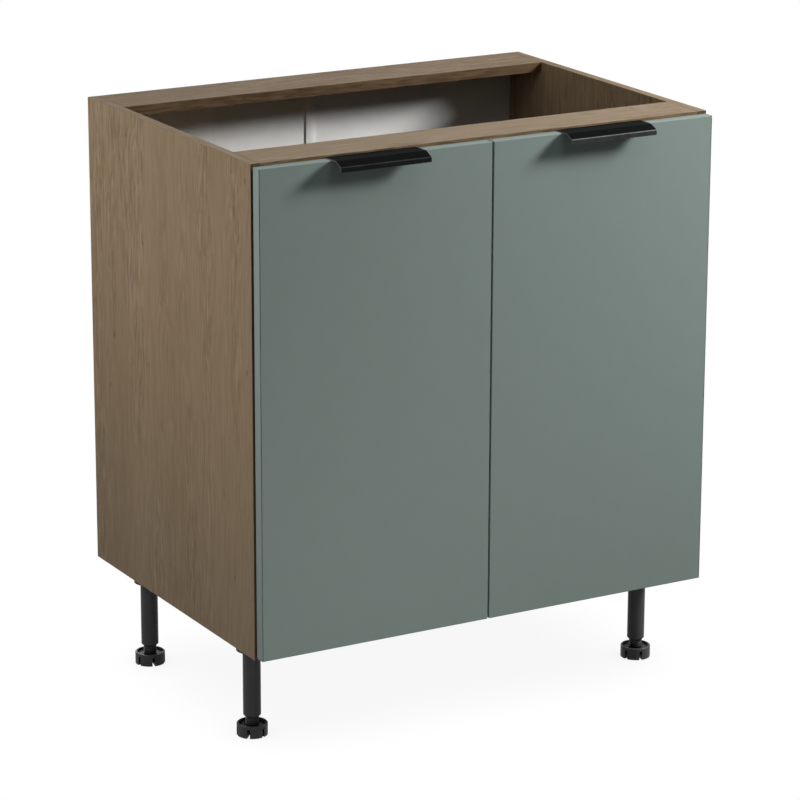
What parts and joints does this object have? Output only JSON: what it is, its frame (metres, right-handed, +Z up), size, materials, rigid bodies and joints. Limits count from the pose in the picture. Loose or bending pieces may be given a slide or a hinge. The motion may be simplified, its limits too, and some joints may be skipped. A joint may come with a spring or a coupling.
{
  "type": "kitchen base cabinet",
  "caption": "Kitchen base cabinet: oak laminate carcass with top rails and a shelf, matt green slab doors on concealed hinges, black edge-pull handles, adjustable legs.",
  "frame": {"origin": "on the floor, in the middle of the plan of the whole cabinet with its handles", "axes": "+X to the right seen from the front, +Y to the back, +Z up"},
  "size_m": [0.8, 0.6122, 0.928],
  "materials": {
    "oak_laminate": "matt brown oak laminate on chipboard",
    "white_board": "white lacquered hardboard",
    "white_plastic": "white extruded plastic",
    "green_front": "matt sage green on fibreboard",
    "black_metal": "matt black",
    "black_plastic": "matt black",
    "nickel_steel": "nickel plated",
    "plated_steel": "zinc plated",
    "zinc": "die cast",
    "beech": "plain",
    "clear_rubber": "clear"
  },
  "bodies": {
    "carcass": {"left_side_panel": "oak_laminate", "right_side_panel": "oak_laminate", "bottom_panel": "oak_laminate", "front_rail": "oak_laminate", "back_rail": "oak_laminate", "shelf": "oak_laminate", "back_panel_left": "white_board", "back_panel_right": "white_board", "back_panel_joiner": "white_plastic", "shelf_pins": "plated_steel", "cam_bolts": "plated_steel", "cam_locks": "zinc", "dowels": "beech", "hinge_plate_screws": "plated_steel", "leg_socket_screws": "plated_steel", "left_lower_hinge_plate": "nickel_steel", "left_lower_hinge_arm": "nickel_steel", "left_upper_hinge_plate": "nickel_steel", "left_upper_hinge_arm": "nickel_steel", "right_lower_hinge_plate": "nickel_steel", "right_lower_hinge_arm": "nickel_steel", "right_upper_hinge_plate": "nickel_steel", "right_upper_hinge_arm": "nickel_steel", "front_left_leg_socket": "black_plastic", "front_left_leg_tube": "black_plastic", "front_right_leg_socket": "black_plastic", "front_right_leg_tube": "black_plastic", "back_left_leg_socket": "black_plastic", "back_left_leg_tube": "black_plastic", "back_right_leg_socket": "black_plastic", "back_right_leg_tube": "black_plastic"},
    "left_long_links": {"left_lower_long_link": "nickel_steel", "left_upper_long_link": "nickel_steel"},
    "left_short_links": {"left_lower_short_link": "nickel_steel", "left_upper_short_link": "nickel_steel"},
    "left_door": {"left_door": "green_front", "left_handle": "black_metal", "left_handle_screws": "plated_steel", "left_hinge_cup_screws": "plated_steel", "left_door_bumpers": "clear_rubber", "left_lower_hinge_cup": "nickel_steel", "left_upper_hinge_cup": "nickel_steel"},
    "right_long_links": {"right_lower_long_link": "nickel_steel", "right_upper_long_link": "nickel_steel"},
    "right_short_links": {"right_lower_short_link": "nickel_steel", "right_upper_short_link": "nickel_steel"},
    "right_door": {"right_door": "green_front", "right_handle": "black_metal", "right_handle_screws": "plated_steel", "right_hinge_cup_screws": "plated_steel", "right_door_bumpers": "clear_rubber", "right_lower_hinge_cup": "nickel_steel", "right_upper_hinge_cup": "nickel_steel"},
    "front_left_foot": {"front_left_foot": "black_plastic"},
    "front_right_foot": {"front_right_foot": "black_plastic"},
    "back_left_foot": {"back_left_foot": "black_plastic"},
    "back_right_foot": {"back_right_foot": "black_plastic"}
  },
  "joints": [
    {"name": "left_long_link_swing", "type": "hinge", "parent": "carcass", "child": "left_long_links", "pos_m": [-0.364, -0.25535, 0.544], "axis": [0, 0, -1], "range_deg": [-34.7, 0.5]},
    {"name": "left_door_swing", "type": "hinge", "parent": "left_long_links", "child": "left_door", "pos_m": [-0.38695, -0.26225, 0.544], "axis": [0, 0, -1], "range_deg": [0, 129.2]},
    {"name": "left_short_link_swing", "type": "hinge", "parent": "carcass", "child": "left_short_links", "pos_m": [-0.3739, -0.26655, 0.544], "axis": [0, 0, -1], "range_deg": [-50.85, 0.5]},
    {"name": "right_long_link_swing", "type": "hinge", "parent": "carcass", "child": "right_long_links", "pos_m": [0.364, -0.25535, 0.544], "axis": [0, 0, 1], "range_deg": [-34.7, 0.5]},
    {"name": "right_door_swing", "type": "hinge", "parent": "right_long_links", "child": "right_door", "pos_m": [0.38695, -0.26225, 0.544], "axis": [0, 0, 1], "range_deg": [0, 129.2]},
    {"name": "right_short_link_swing", "type": "hinge", "parent": "carcass", "child": "right_short_links", "pos_m": [0.3739, -0.26655, 0.544], "axis": [0, 0, 1], "range_deg": [-50.85, 0.5]},
    {"name": "front_left_foot_height", "type": "slide", "parent": "carcass", "child": "front_left_foot", "axis": [0, 0, 1], "range_m": [-0.014, 0.01]},
    {"name": "front_right_foot_height", "type": "slide", "parent": "carcass", "child": "front_right_foot", "axis": [0, 0, 1], "range_m": [-0.014, 0.01]},
    {"name": "back_left_foot_height", "type": "slide", "parent": "carcass", "child": "back_left_foot", "axis": [0, 0, 1], "range_m": [-0.014, 0.01]},
    {"name": "back_right_foot_height", "type": "slide", "parent": "carcass", "child": "back_right_foot", "axis": [0, 0, 1], "range_m": [-0.014, 0.01]}
  ],
  "couplings": [
    {"joint": "left_long_link_swing", "follows": "left_door_swing", "ratio": -0.26471},
    {"joint": "left_short_link_swing", "follows": "left_door_swing", "ratio": -0.38971},
    {"joint": "right_long_link_swing", "follows": "right_door_swing", "ratio": -0.26471},
    {"joint": "right_short_link_swing", "follows": "right_door_swing", "ratio": -0.38971}
  ]
}
